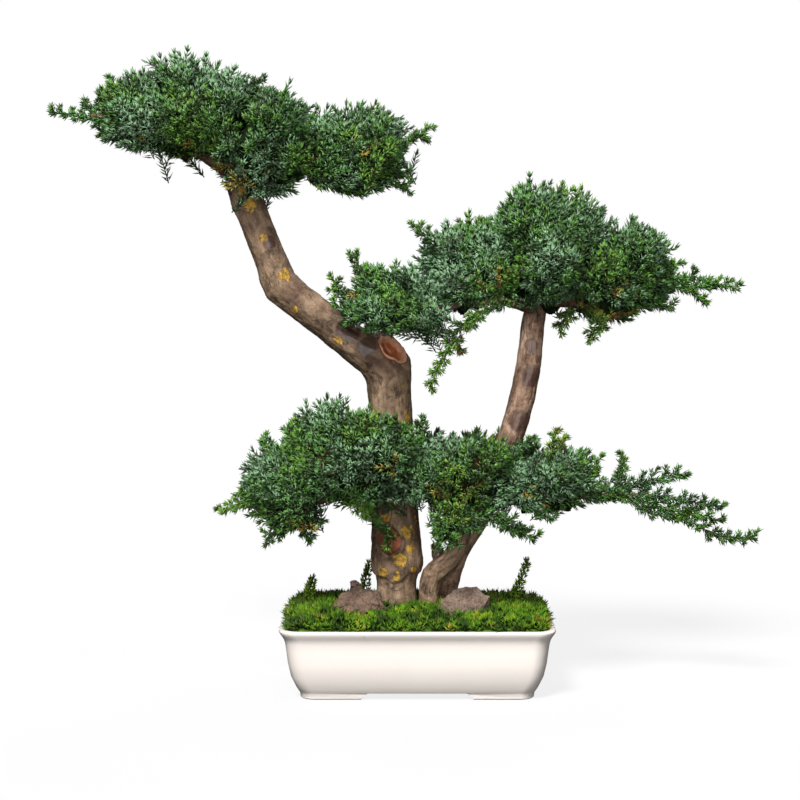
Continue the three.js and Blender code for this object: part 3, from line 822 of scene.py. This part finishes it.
# ---- rocks ----------------------------------------------------------------------------------------------
def make_rock(node, material, slot, lumps, pits):
    rock = grown_from(node, node + "_stone", 0.9, 1)
    mesh = rock.data
    points = points_of(mesh)
    broad = rough(points, 22, 4) * lumps
    split = -np.clip(0.35 - rough(points, 13, 1, "VORONOI_F2F1"), 0, 1) * 1.6 * lumps
    pocked = -np.clip(rough(points, 5, 2, "VORONOI_F2F1") - 0.35, 0, 1) * pits
    fine = rough(points, 3, 3) * 0.5
    move_points(mesh, points + normals_of(mesh) * ((broad + split + pocked + fine) * MM)[:, None])
    mesh.materials.append(material)
    activate(rock)
    bpy.ops.object.shade_smooth()
    declare(rock, slot, node)


# ---- leaves and needles ---------------------------------------------------------------------------------
def needle_shape():
    """An awl-shaped leaf one unit long: three-sided, widest above its foot and drawn out to a point."""
    deselect()
    bpy.ops.mesh.primitive_cone_add(
        vertices=3, radius1=0.5, radius2=0, depth=0.6, location=(0, 0, 0.7), end_fill_type="TRIFAN"
    )
    leaf = bpy.context.object
    bpy.ops.object.transform_apply(location=True, rotation=True, scale=True)
    choose(leaf, lambda at: at.z < 0.5 and math.hypot(at.x, at.y) < 0.1)
    bpy.ops.transform.translate(value=(0, 0, -0.4))
    return take_shape(leaf)


def twig_shape():
    """A four-sided stick one unit long, thinner at its top."""
    deselect()
    bpy.ops.mesh.primitive_cone_add(vertices=4, radius1=0.5, radius2=0.36, depth=1, location=(0, 0, 0.5))
    stick = bpy.context.object
    bpy.ops.object.transform_apply(location=True, rotation=True, scale=True)
    edit(stick)
    bpy.ops.mesh.select_all(action="SELECT")
    bpy.ops.mesh.quads_convert_to_tris()
    return take_shape(stick)


def take_shape(model):
    """The points and triangles of a modelled shape, for copying."""
    bpy.ops.object.mode_set(mode="OBJECT")
    points = points_of(model.data)
    faces = np.array([tuple(face.vertices) for face in model.data.polygons])
    bpy.data.objects.remove(model)
    return points, faces


NEEDLE_SHAPE = needle_shape()
TWIG_SHAPE = twig_shape()


def unit(vectors):
    return vectors / (np.linalg.norm(vectors, axis=-1, keepdims=True) + 1e-12)


def across_of(directions):
    """Two directions square to each given one."""
    helper = np.where(np.abs(directions[:, 2:]) < 0.9, UP, (1.0, 0.0, 0.0))
    first = unit(np.cross(directions, helper))
    return first, np.cross(directions, first)


class Growth:
    """Copies of the leaf and twig shapes, gathered and then made into one mesh."""

    def __init__(self):
        self.parts = []

    def add(self, shape, kind, base, direction, length, width, tint):
        """Lays one copy of a shape along each direction; kind is its material's slot."""
        points, faces = shape
        first, second = across_of(direction)
        turn = rng.uniform(0, 2 * np.pi, len(base))[:, None]
        side = first * np.cos(turn) + second * np.sin(turn)
        other = np.cross(direction, side)
        x, y, z = points.T
        placed = (
            base[:, None]
            + side[:, None] * (x[None, :, None] * width[:, None, None])
            + other[:, None] * (y[None, :, None] * width[:, None, None])
            + direction[:, None] * (z[None, :, None] * length[:, None, None])
        )
        self.parts.append((placed, faces, kind, tint, z, x))

    def build(self, name, materials):
        corners, triangles, kinds, tints, alongs, maps = [], [], [], [], [], []
        start = 0
        for placed, faces, kind, tint, z, x in self.parts:
            copies, count = placed.shape[:2]
            offset = start + np.arange(copies)[:, None, None] * count
            corners.append(placed.reshape(-1, 3))
            triangles.append((faces[None] + offset).reshape(-1, 3))
            kinds.append(np.full(copies * len(faces), kind))
            tints.append(np.repeat(tint, count))
            alongs.append(np.tile(z, copies))
            # Each copy lies on the map by its tint, and each kind in a band of its own.
            u = 0.02 + 0.96 * np.repeat(tint, count) + 0.012 * np.tile(x, copies)
            v = (0.02 + 0.74 * np.tile(z, copies)) if kind == 0 else (0.82 + 0.16 * np.tile(z, copies))
            maps.append(np.stack([u, v + 0.01 * np.tile(x, copies) * (kind > 0)], 1))
            start += copies * count
        corners, triangles = np.concatenate(corners), np.concatenate(triangles).astype(np.int32)
        mesh = bpy.data.meshes.new(name)
        mesh.vertices.add(len(corners))
        mesh.loops.add(triangles.size)
        mesh.polygons.add(len(triangles))
        mesh.vertices.foreach_set("co", corners.astype(np.float32).ravel())
        mesh.loops.foreach_set("vertex_index", triangles.ravel())
        mesh.polygons.foreach_set("loop_start", np.arange(len(triangles), dtype=np.int32) * 3)
        mesh.polygons.foreach_set("material_index", np.concatenate(kinds).astype(np.int32))
        mesh.update(calc_edges=True)
        mark(mesh, "tint", np.concatenate(tints))
        mark(mesh, "along", np.concatenate(alongs))
        layer = mesh.uv_layers.new(name="OFBake", do_init=False)
        layer.uv.foreach_set("vector", np.concatenate(maps)[triangles.ravel()].astype(np.float32).ravel())
        for material in materials:
            mesh.materials.append(material)
        piece = bpy.data.objects.new(name, mesh)
        bpy.context.collection.objects.link(piece)
        return piece


# How far a shoot's tip curves up as a share of its length, and the steepest that one may hang
TIP_RISE = 0.12
MAX_DROOP = 0.35


class Shoots:
    """Leafy shoots of one clump: where each starts, where it points, how far it rises and its tint."""

    def __init__(self):
        self.rows = []

    def add(self, base, direction, length, tint, rise=TIP_RISE):
        self.rows.append((*base, *direction, length, tint, rise))

    def plume(self, base, direction, length, tint, side_shoots=4):
        """One shoot with shorter ones that leave it to each side, as a feather does."""
        direction = unit(np.asarray(direction, float))
        self.add(base, direction, length, tint)
        spin = rng.uniform(0, 2 * np.pi)
        first, second = across_of(direction[None])
        for i in range(side_shoots):
            share = 0.28 + 0.5 * i / max(side_shoots - 1, 1) + rng.uniform(-0.04, 0.04)
            turn = spin + i * 2.4
            outward = first[0] * math.cos(turn) + second[0] * math.sin(turn)
            lean = unit(direction * 0.82 + outward * 0.62 + UP * 0.1)
            lean[2] = max(lean[2], -MAX_DROOP * math.hypot(lean[0], lean[1]))
            start = base + direction * (share * length) + UP * (TIP_RISE * length * share**2)
            self.add(start, unit(lean), length * (0.58 - 0.3 * share), tint + rng.normal(0, 0.03))

    def dress(self, growth, leaf):
        """Sets whorls of leaves along every shoot, and the shoot's own stick."""
        rows = np.array(self.rows)
        base, direction = rows[:, :3], rows[:, 3:6]
        length, tint, rise = rows[:, 6:].T
        whorls = np.maximum((length / (leaf["spacing"] * MM)).astype(int), 2)
        owner = np.repeat(np.arange(len(rows)), whorls)
        order = np.arange(len(owner)) - np.repeat(np.cumsum(whorls) - whorls, whorls)
        share = (order + 0.5) / whorls[owner]
        bend = (rise * length)[owner]
        at = base[owner] + direction[owner] * (share * length[owner])[:, None]
        at = at + UP * (bend * share**2)[:, None]
        axis = unit(direction[owner] + UP * (2 * rise[owner] * share)[:, None])
        first, second = across_of(axis)
        for k in range(leaf["whorl"]):
            turn = order * 1.05 + k * 2 * np.pi / leaf["whorl"] + rng.normal(0, 0.28, len(owner))
            outward = first * np.cos(turn)[:, None] + second * np.sin(turn)[:, None]
            open_angle = leaf["open"] * (1 - 0.62 * share**1.5) + rng.normal(0, 0.13, len(owner))
            lean = unit(axis * np.cos(open_angle)[:, None] + outward * np.sin(open_angle)[:, None])
            size = leaf["length"] * MM * (1.05 - 0.3 * share**2) * rng.uniform(0.75, 1.15, len(owner))
            width = leaf["width"] * MM * rng.uniform(0.85, 1.15, len(owner))
            shade = np.clip(tint[owner] + rng.normal(0, 0.12, len(owner)), 0, 1)
            growth.add(NEEDLE_SHAPE, 0, at, lean, size, width, shade)
        tip = base + direction * length[:, None] + UP * (rise * length)[:, None]
        axis = unit(direction + UP * (2 * rise)[:, None])
        for _ in range(leaf["tips"]):
            lean = unit(axis + rng.normal(0, 0.2, (len(rows), 3)))
            size = leaf["length"] * MM * rng.uniform(0.6, 0.85, len(rows))
            shade = np.clip(tint + 0.05 + rng.normal(0, 0.05, len(rows)), 0, 1)
            width = np.full(len(rows), leaf["width"] * MM)
            growth.add(NEEDLE_SHAPE, 0, tip - axis * 0.001, lean, size, width, shade)
        stick = tip - base
        reach = np.linalg.norm(stick, axis=1)
        wood = np.clip(0.15 + 0.4 * rng.random(len(rows)) + (tint > 0.9) * 0.5, 0, 1)
        thick = np.full(len(rows), leaf["stick"] * MM)
        growth.add(TWIG_SHAPE, 1, base, stick / reach[:, None], reach, thick, wood)


# How leaves sit on a shoot, in millimetres: the step between whorls, leaves in a whorl, how far they open
# in radians, their length and width, the leaves at the tip and the stick's width
def habit(spacing, whorl, opening, length, width, tips, stick):
    return {"spacing": spacing, "whorl": whorl, "open": opening, "length": length, "width": width,
            "tips": tips, "stick": stick}


JUNIPER = habit(3.3, 3, 0.82, 9.6, 1.75, 4, 1.2)
SPRAY = habit(2.2, 3, 0.82, 7.4, 1.6, 3, 1.4)
MOSS = habit(3.2, 3, 0.78, 11.0, 1.9, 3, 0.8)
MOSS_SHOOT = habit(2.6, 3, 0.6, 6.0, 1.5, 3, 0.8)


# ---- foliage pads ---------------------------------------------------------------------------------------
# Each pad grows outward from its root, over the surfaces of its CAD clumps.
PAD_ROOTS = {"crown": (-172, 0, 495), "middle": (118, 0, 367), "lower": (0, 0, 181)}
PLUME_LENGTH = 0.040
PLUME_SPACING = 0.0108
COVER_DEPTH = 0.005
MAT_VOXEL = 2.4
DEAD_TINT = 0.97


def pad_of(node):
    return node.split("_")[0]


def clump_nodes():
    wanted = ("foliage", "finger", "front_tuft")
    return [n for n in sorted(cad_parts) if any(word in n for word in wanted)]


def clump_skin(node):
    """The corners and triangles of a clump's CAD surface."""
    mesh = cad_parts[node].data
    return points_of(mesh), np.array([tuple(face.vertices) for face in mesh.polygons])


def drift(point, size, seed):
    """A smooth random direction that changes slowly from place to place."""
    return np.array(noise.noise_vector(Vector(point) / size + Vector((seed, 0, 0))))


def patch_tint(point):
    """Blue-green in most places, with fresher yellow-green in broad patches."""
    broad = noise.noise(Vector(point) / 0.055 + Vector((3.1, 0, 0)))
    fine = noise.noise(Vector(point) / 0.018 + Vector((9.4, 0, 0)))
    return float(np.clip(0.38 + 0.5 * broad + 0.2 * fine + rng.normal(0, 0.08), 0.02, 0.86))


def spread_over(points, faces, spacing):
    """Places spread over a surface at least spacing apart, with the way that each one faces."""
    a, b, c = (points[faces[:, i]] for i in range(3))
    normals = np.cross(b - a, c - a)
    areas = np.linalg.norm(normals, axis=1) / 2
    tries = int(5 * areas.sum() / spacing**2)
    owner = rng.choice(len(faces), tries, p=areas / areas.sum())
    u, v = np.sqrt(rng.random((tries, 1))), rng.random((tries, 1))
    at = a[owner] * (1 - u) + b[owner] * (u * (1 - v)) + c[owner] * (u * v)
    kept = np.empty((0, 3))
    for i in range(tries):
        if not len(kept) or ((kept - at[i]) ** 2).sum(1).min() > spacing**2:
            kept = np.vstack([kept, at[i]])
            yield at[i], unit(normals[owner[i]])


def covered(at, way, trees):
    """Whether the place just outside a clump's surface is inside a neighbour."""
    probe = Vector(at + way * COVER_DEPTH)
    for tree in trees:
        near, normal, _, _ = tree.find_nearest(probe, 0.05)
        if near is not None and (probe - near).dot(normal) < 0:
            return True
    return False


def grow_clump(node, skins):
    shoots = Shoots()
    root = np.array(place(*PAD_ROOTS[pad_of(node)]))
    points, faces, _ = skins[node]
    middle = (points.min(0) + points.max(0)) / 2
    trees = [skin[2] for other, skin in skins.items() if other != node and pad_of(other) == pad_of(node)]
    for at, normal in spread_over(points, faces, PLUME_SPACING):
        if covered(at, normal, trees):
            continue
        outward = unit(normal + 0.6 * unit(at - middle))
        away = unit(at - root)
        lift = 0.40 if outward[2] > -0.25 else 0.0
        wander = 0.85 if outward[2] > -0.25 else 0.4
        sweep = unit(away * (1, 1, 1 if lift else 0.2) + lift * UP + wander * drift(at, 0.050, 7))
        direction = unit(0.42 * outward + sweep - min(sweep @ outward, 0) * outward + rng.normal(0, 0.13, 3))
        direction[2] = max(direction[2], -MAX_DROOP * math.hypot(direction[0], direction[1]))
        length = PLUME_LENGTH * rng.uniform(0.7, 1.25)
        tint = patch_tint(at)
        if outward[2] < -0.3 and rng.random() < 0.05:
            tint = DEAD_TINT
        proud = rng.uniform(-0.002, 0.008) + 0.006 * noise.noise(Vector(at) / 0.016)
        ahead = np.clip(proud / max(direction @ normal, 0.2), -0.1 * length, 0.42 * length)
        shoots.plume(at - normal * 0.003 - direction * (length - ahead), direction, length, tint)
    return shoots


def make_mat(node):
    """The dark inside of a clump, set back from its surface: painted shade for the gaps between tufts, with
    brown patches of old needles and twig ends.
    """
    mat = grown_from(node, node + "_mat", MAT_VOXEL, 4)
    low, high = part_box(node)
    depth = min(0.0095, 0.27 * min(high - low))
    move_points(mat.data, points_of(mat.data) - normals_of(mat.data) * depth)
    modify(mat, "REMESH", mode="VOXEL", voxel_size=MAT_VOXEL * MM)
    points = points_of(mat.data)
    move_points(mat.data, points + normals_of(mat.data) * (rough(points, 8, 3) * 3 * MM)[:, None])
    mat.data.materials.append(PAD_SHADE_AND_OLD_NEEDLES)
    activate(mat)
    bpy.ops.object.shade_smooth()
    declare(mat, "needles")


def make_clumps():
    skins = {}
    for node in clump_nodes():
        points, faces = clump_skin(node)
        skins[node] = (points, faces, BVHTree.FromPolygons(points.tolist(), faces.tolist()))
    for node in skins:
        make_mat(node)
        growth = Growth()
        grow_clump(node, skins).dress(growth, JUNIPER)
        grow_branches(node, growth)
        declare(growth.build(node + "_needles", [NEEDLE, TWIG]), "needles", node)


# ---- sprays that stand clear of the pads ----------------------------------------------------------------
# Each spray's branches: the reach of its side shoots, its tint and the points along it
SPRAYS = {
    "crown_spray_left": (
        (8, 0.36, (-296, -6, 550), (-320, -6, 554), (-340, -6, 558), (-353, -6, 560)),
        (6, 0.40, (-304, -6, 553), (-313, -6, 561), (-320, -6, 568)),
    ),
    "crown_spray_right": (
        (3, 0.45, (-20, 0, 517), (-5, -1, 533), (8, -3, 542), (15, -4, 546)),
        (2, 0.55, (-8, -1, 530), (-1, -2, 540)),
        (2, 0.55, (1, -2, 536), (9, -3, 533)),
    ),
    "middle_spray_tip": (
        (11, 0.50, (-46, -30, 371), (-66, -30, 379), (-76, -30, 389), (-80, -30, 401)),
        (9, 0.45, (-50, -34, 371), (-66, -34, 369), (-80, -34, 377)),
    ),
    "middle_spray_right": (
        (11, 0.42, (232, -6, 393), (262, -6, 391), (290, -6, 394), (309, -6, 391)),
        (7, 0.42, (246, -6, 392), (262, -6, 400), (270, -6, 408)),
        (5, 0.42, (272, -6, 391), (281, -6, 397)),
        (5, 0.42, (262, -6, 388), (279, -6, 377)),
    ),
    "middle_spray_hanging": (
        (7, 0.56, (93, -60, 381), (60, -64, 371), (35, -66, 352), (27, -66, 331), (19, -66, 317),
         (8, -66, 290)),
        (5, 0.78, (35, -66, 348), (40, -66, 332)),
        (6, 0.60, (60, -64, 371), (54, -66, 362), (46, -66, 353)),
    ),
    "middle_tuft_below": (
        (11, 0.60, (180, -38, 365), (170, -44, 352), (162, -46, 344)),
        (12, 0.60, (146, -36, 374), (140, -42, 362), (135, -44, 354)),
        (10, 0.68, (160, -36, 372), (170, -42, 362), (178, -44, 357)),
        (5, 0.99, (150, -34, 376), (176, -32, 373), (204, -36, 381)),
        (5, 0.95, (168, -36, 363), (190, -36, 367), (212, -36, 371)),
    ),
    "lower_spray_left": (
        (8, 0.60, (-160, -18, 185), (-176, -18, 180), (-189, -18, 176)),
        (8, 0.45, (-150, -18, 190), (-165, -18, 193), (-173, -18, 192)),
    ),
    "lower_spray_upright": (
        (7, 0.72, (125, -13, 211), (129, -14, 231), (134, -14, 254)),
        (6, 0.72, (129, -14, 219), (137, -14, 233), (141, -14, 245)),
        (7, 0.40, (150, -12, 205), (153, -12, 217), (157, -12, 229)),
        (6, 0.30, (86, -10, 227), (98, -10, 235), (112, -10, 244)),
    ),
    "lower_spray_shoulder": (
        (15, 0.36, (150, -16, 188), (172, -18, 189), (198, -18, 190)),
        (15, 0.32, (155, -12, 191), (200, -12, 198), (230, -12, 205), (260, -12, 212)),
        (8, 0.42, (166, -12, 195), (169, -12, 211), (176, -12, 226)),
        (7, 0.50, (194, -12, 197), (198, -12, 212), (199, -12, 228)),
    ),
    "lower_spray_long": (
        (11, 0.42, (165, -12, 191), (205, -12, 189), (235, -14, 179), (264, -16, 167), (280, -16, 155),
         (296, -16, 149), (318, -16, 147), (338, -16, 154)),
        (10, 0.30, (200, -14, 191), (240, -15, 189), (274, -15, 183), (299, -15, 178)),
        (9, 0.48, (244, -16, 177), (274, -16, 171), (297, -16, 164)),
        (10, 0.35, (205, -14, 185), (226, -14, 173), (264, -14, 165)),
    ),
    "lower_tuft_right": (
        (12, 0.40, (70, -58, 177), (98, -60, 161), (114, -58, 154)),
        (12, 0.35, (60, -58, 184), (82, -60, 168), (96, -58, 160)),
    ),
    "middle_finger_upper": (
        (11, 0.50, (-26, -30, 377), (-48, -30, 399), (-62, -30, 424)),
    ),
    "middle_foliage_centre": (
        (15, 0.42, (88, -30, 392), (98, -38, 380), (104, -40, 370)),
        (15, 0.30, (70, -30, 392), (74, -38, 380), (72, -40, 368)),
        (15, 0.40, (54, -30, 392), (52, -38, 380), (46, -40, 370)),
        (14, 0.30, (132, -24, 390), (140, -32, 378), (150, -34, 368)),
    ),
    "middle_foliage_left": (
        (15, 0.42, (40, -28, 396), (32, -34, 384), (24, -36, 374)),
        (11, 0.45, (34, -28, 417), (12, -28, 435), (-3, -28, 452)),
    ),
    "crown_foliage_right": (
        (13, 0.40, (-36, -4, 506), (-22, -4, 503), (-12, -4, 500)),
        (12, 0.40, (-38, -6, 498), (-22, -6, 493), (-10, -6, 486)),
    ),
    "crown_foliage_left": (
        (12, 0.35, (-268, -14, 558), (-282, -16, 574), (-293, -16, 586)),
        (11, 0.35, (-278, -14, 556), (-294, -16, 566), (-303, -16, 574)),
    ),
    "crown_foliage_centre": (
        (12, 0.35, (-164, -14, 568), (-156, -16, 580), (-150, -16, 590)),
    ),
    "middle_foliage_right": (
        (12, 0.45, (222, -4, 398), (238, -4, 404), (250, -4, 414)),
        (12, 0.45, (218, -8, 378), (234, -8, 374), (246, -8, 372)),
    ),
    "lower_foliage_right": (
        (12, 0.40, (10, -16, 232), (6, -18, 248), (3, -18, 262)),
        (10, 0.35, (96, -40, 190), (116, -44, 176), (130, -44, 172)),
    ),
    "lower_foliage_left": (
        (12, 0.40, (-136, -20, 226), (-144, -22, 238), (-149, -22, 247)),
        (10, 0.35, (-118, -20, 238), (-122, -22, 248), (-124, -22, 256)),
        (12, 0.45, (-128, -24, 168), (-134, -26, 156), (-146, -26, 148)),
        (11, 0.45, (-112, -30, 168), (-108, -32, 156), (-104, -32, 150)),
    ),
    "lower_foliage_centre": (
        (10, 0.55, (-62, -60, 196), (-54, -62, 184), (-46, -62, 174)),
        (3, 0.62, (-56, -46, 189), (-37, -46, 168), (-25, -42, 154), (-31, -38, 139)),
    ),
}
SIDE_SPACING = 0.0056
BRANCH_STEPS = 60


def grow_branch(shoots, samples, total, reach, tint):
    """A feathered branch: needles along its line, and side shoots that shorten towards its tip."""
    last = BRANCH_STEPS - 1
    travelled = 0.3 * SIDE_SPACING
    side = 1
    while travelled < total * 0.96:
        share = travelled / total
        i = int(share * last)
        tangent = unit(samples[min(i + 1, last)] - samples[max(i - 1, 0)])
        out = unit(np.cross(tangent, (0, 1, 0))) * side * rng.uniform(0.6, 1.0)
        out = out + np.array((0, 1, 0)) * rng.uniform(-0.8, 0.8)
        direction = unit(tangent * 0.85 + out * 0.62 + UP * 0.08)
        length = reach * MM * (1.15 - 0.55 * share) * rng.uniform(0.8, 1.2)
        shoots.plume(samples[i], direction, length, tint + 0.10 * share + rng.normal(0, 0.05), 2)
        side = -side
        travelled += SIDE_SPACING * rng.uniform(0.75, 1.25)
    joints = samples[::6]
    for start, end, share in zip(joints[:-1], joints[1:], np.linspace(0, 1, len(joints) - 1)):
        shoots.add(start, unit(end - start), np.linalg.norm(end - start) * 1.05, tint + 0.12 * share, 0.0)


def grow_branches(node, growth):
    for reach, tint, *line in SPRAYS.get(node, ()):
        samples, along = line_samples(line, BRANCH_STEPS)
        shoots = Shoots()
        grow_branch(shoots, samples, along[-1], reach, tint)
        shoots.dress(growth, SPRAY)
        ends = samples[::8]
        step = np.diff(ends, axis=0)
        length = np.linalg.norm(step, axis=1)
        thick = np.linspace(0.0026, 0.0012, len(step))
        growth.add(TWIG_SHAPE, 1, ends[:-1], unit(step), length * 1.06, thick, np.full(len(step), 0.5))


def make_sprays():
    for node in SPRAYS:
        if "foliage" in node or "finger" in node:
            continue
        growth = Growth()
        grow_branches(node, growth)
        declare(growth.build(node + "_needles", [NEEDLE, TWIG]), "needles", node)


# ---- moss -----------------------------------------------------------------------------------------------
MOSS_VOXEL = 1.6
MOSS_STEM_SPACING = 0.0050
MOSS_STEM_LENGTH = 0.0060
DEAD_MOSS_TINT = 0.98


def make_moss():
    for node in ("moss_left", "moss_middle", "moss_right"):
        bed = grown_from(node, node + "_bed", MOSS_VOXEL, 2)
        points = points_of(bed.data)
        lift = rough(points, 16, 3) * 1.2 * np.clip(normals_of(bed.data)[:, 2], 0, 1)
        points[:, 2] += lift * MM
        move_points(bed.data, points)
        bed.data.materials.append(MOSS_BED)
        activate(bed)
        bpy.ops.object.shade_smooth()
        declare(bed, "moss", node)
        normals = normals_of(bed.data)
        facing = np.flatnonzero(normals[:, 2] > 0.25)
        share = (MOSS_VOXEL * MM / MOSS_STEM_SPACING) ** 2
        chosen = facing[rng.random(len(facing)) < share]
        shoots = Shoots()
        for i in chosen:
            tall = MOSS_STEM_LENGTH * rng.uniform(0.5, 1.4)
            lean = unit(normals[i] * 0.5 + UP * 0.75 + rng.normal(0, 0.34, 3))
            tint = 0.55 + 0.35 * noise.noise(Vector(points[i]) / 0.018) + rng.normal(0, 0.14)
            tint = float(np.clip(tint, 0, 0.92))
            if rng.random() < 0.012:
                tint = DEAD_MOSS_TINT
            shoots.add(points[i] - lean * 0.001, lean, tall, tint, 0.0)
        growth = Growth()
        shoots.dress(growth, MOSS)
        declare(growth.build(node + "_leaves", [MOSS_LEAF, TWIG]), "moss")


SHOOT_STEPS = 40
MOSS_SHOOT_LINES = {
    "moss_shoot_left": ((-108, 12, 79), (-106, 12, 92), (-103, 12, 101)),
    "moss_shoot_back": ((-53, 14, 81), (-51, 14, 102), (-47, 14, 117)),
    "moss_shoot_right": ((92, 6, 80), (100, 6, 98), (108, 6, 121)),
}


def make_moss_shoots():
    for node, line in MOSS_SHOOT_LINES.items():
        samples, _ = line_samples(line, SHOOT_STEPS)
        shoots = Shoots()
        for i in range(3, SHOOT_STEPS - 1, 2):
            tangent = unit(samples[i + 1] - samples[i - 1])
            out = np.array([math.cos(i * 2.1), 0.4 * math.sin(i * 2.1), 0.1])
            size = 0.0085 * (1.2 - i / 60)
            shoots.add(samples[i], unit(tangent * 0.8 + out * 0.6), size, 0.72 + rng.normal(0, 0.05))
        shoots.add(samples[-6], unit(samples[-1] - samples[-6]), 0.008, 0.8)
        growth = Growth()
        shoots.dress(growth, MOSS_SHOOT)
        steps = samples[::6]
        step = np.diff(steps, axis=0)
        length = np.linalg.norm(step, axis=1)
        same = np.ones(len(step))
        growth.add(TWIG_SHAPE, 0, steps[:-1], unit(step), length * 1.05, 0.0016 * same, 0.7 * same)
        declare(growth.build(node + "_leaves", [MOSS_LEAF, TWIG]), "moss", node)


# ---- assembly -------------------------------------------------------------------------------------------
make_floor()
make_pot()
make_stems()
make_limbs()
make_rock("rock_left", LAVA, "lava_rock", 2.2, 2.0)
make_rock("rock_right", WEATHERED, "lava_rock", 1.1, 1.3)
make_rock("pebble", SANDSTONE, "sandstone", 0.3, 0.3)
for kept, finish in (("soil", SOIL), ("drain_screen_left", SCREEN), ("drain_screen_right", SCREEN)):
    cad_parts[kept].data.materials.clear()
    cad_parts[kept].data.materials.append(finish)
make_moss()
make_moss_shoots()
make_sprays()
make_clumps()
